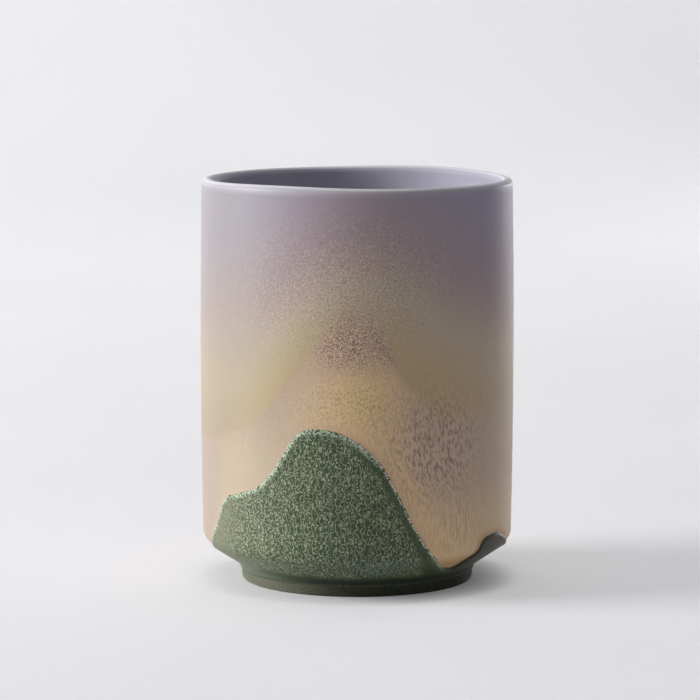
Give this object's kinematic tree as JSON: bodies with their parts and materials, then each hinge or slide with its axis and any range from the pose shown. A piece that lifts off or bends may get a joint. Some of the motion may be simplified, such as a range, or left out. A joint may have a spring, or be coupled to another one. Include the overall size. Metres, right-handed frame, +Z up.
{
  "type": "tea cup",
  "caption": "Handleless straight-sided stoneware tea cup with a turned foot ring, a matt lavender to ochre glaze and a thick green glaze lapped over the base in the shape of hills.",
  "frame": {"origin": "centre of the foot ring's base, on the surface the cup stands on", "axes": "+Z up along the cup's axis, -Y towards the side with the tall hill of green glaze"},
  "size_m": [0.0708, 0.0713, 0.0914],
  "materials": {
    "stoneware": "bare matt stoneware",
    "liner_glaze": "lavender-grey matt glaze",
    "wall_glaze": "matt glaze, lavender to ochre",
    "hill_glaze": "satin green crackled glaze",
    "recess_glaze": "lavender-grey matt glaze"
  },
  "bodies": {
    "root": {"stoneware_body": "stoneware", "liner_glaze": "liner_glaze", "wall_glaze": "wall_glaze", "hill_glaze": "hill_glaze", "recess_glaze": "recess_glaze"}
  },
  "joints": []
}
